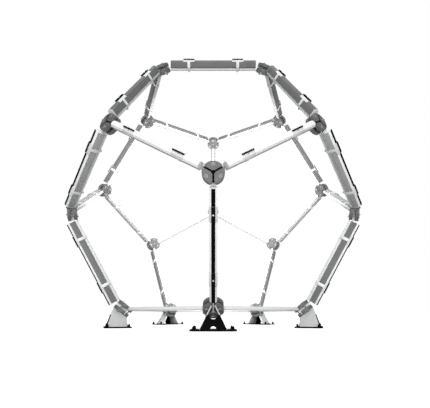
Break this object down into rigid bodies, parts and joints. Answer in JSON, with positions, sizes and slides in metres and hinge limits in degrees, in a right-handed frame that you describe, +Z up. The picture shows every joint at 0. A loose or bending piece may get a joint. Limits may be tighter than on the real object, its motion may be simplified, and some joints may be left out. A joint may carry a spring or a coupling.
{
  "type": "dome climber",
  "caption": "Climbing frame shaped as an open dodecahedron: padded rails with round grip tubes join at bolted hubs, standing on anchored feet.",
  "frame": {"origin": "on the ground, under the centre of the frame", "axes": "+Z up; one foot points towards -Y, and X runs across it"},
  "size_m": [2.816, 2.8752, 2.4776],
  "materials": {
    "hub_steel": "pale grey powder coat",
    "hub_plastic": "matt moulded grey",
    "bolt_steel": "bright zinc plate",
    "bolt_collar": "smooth light grey",
    "tube_steel": "pale grey powder coat",
    "grey_board": "matt grey, fine grain",
    "white_rail": "matt white",
    "fork_steel": "galvanised",
    "clamp_steel": "pale grey powder coat",
    "tread_rubber": "matt black",
    "black_plastic": "matt black",
    "foot_black": "satin black powder coat",
    "foot_grey": "pale grey powder coat"
  },
  "bodies": {
    "root": {"base_hub_cores": "hub_steel", "lower_hub_cores": "hub_steel", "upper_hub_cores": "hub_steel", "crown_hub_cores": "hub_steel", "hub_inlays": "tread_rubber", "base_outer_pads": "hub_plastic", "lower_outer_pads": "hub_plastic", "upper_outer_pads": "hub_plastic", "crown_outer_pads": "hub_plastic", "base_inner_discs": "hub_plastic", "lower_inner_discs": "hub_plastic", "upper_inner_discs": "hub_plastic", "crown_inner_discs": "hub_plastic", "base_hub_bolts": "bolt_steel", "lower_hub_bolts": "bolt_steel", "upper_hub_bolts": "bolt_steel", "crown_hub_bolts": "bolt_steel", "hub_washers": "bolt_collar", "hub_nuts": "bolt_steel", "base_ring_tubes": "tube_steel", "leg_tubes": "tube_steel", "belt_tubes": "tube_steel", "riser_tubes": "tube_steel", "crown_ring_tubes": "tube_steel", "leg_boards": "grey_board", "belt_boards": "grey_board", "riser_boards": "grey_board", "crown_ring_boards": "grey_board", "leg_rails": "white_rail", "belt_rails": "white_rail", "riser_rails": "grey_board", "crown_ring_rails": "grey_board", "base_ring_forks": "fork_steel", "leg_forks": "fork_steel", "belt_forks": "fork_steel", "riser_forks": "fork_steel", "crown_ring_forks": "fork_steel", "leg_straps": "clamp_steel", "belt_straps": "clamp_steel", "riser_straps": "clamp_steel", "crown_ring_straps": "clamp_steel", "leg_saddles": "clamp_steel", "belt_saddles": "clamp_steel", "riser_saddles": "clamp_steel", "crown_ring_saddles": "clamp_steel", "board_end_plates": "clamp_steel", "fork_pins": "bolt_steel", "leg_tread_strips": "tread_rubber", "side_tread_strips": "tread_rubber", "clamp_bars": "black_plastic", "belt_clamp_bars": "black_plastic", "clamp_bolts": "bolt_steel", "clamp_nuts": "bolt_steel", "foot_base_plates": "foot_black", "foot_cheeks": "foot_grey", "foot_front_plates": "foot_black", "anchor_bolts": "black_plastic"}
  },
  "joints": []
}
